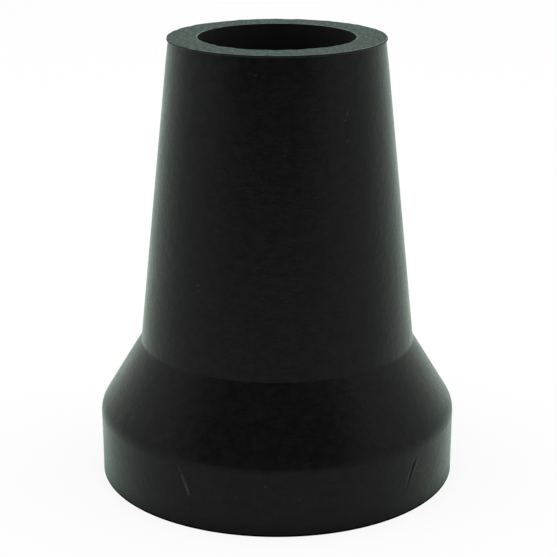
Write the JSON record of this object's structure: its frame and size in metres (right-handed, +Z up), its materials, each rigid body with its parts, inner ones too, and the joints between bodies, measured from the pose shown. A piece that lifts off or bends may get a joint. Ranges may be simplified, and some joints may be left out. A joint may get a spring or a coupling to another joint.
{
  "type": "rubber cane tip",
  "caption": "Black rubber ferrule for the foot of a cane or crutch: a tapered neck with a blind round socket, flared to a wide foot with a ring-grooved sole.",
  "frame": {"origin": "centre of the sole, on the floor that the tip stands on", "axes": "+Z up along the tip's axis, out of the socket's mouth; the tip is round, so X and Y are free"},
  "size_m": [0.0448, 0.0448, 0.0552],
  "materials": {
    "rubber": "semi-matt moulded black rubber, with a duller ground rim"
  },
  "bodies": {
    "root": {"rubber_tip": "rubber"}
  },
  "joints": []
}
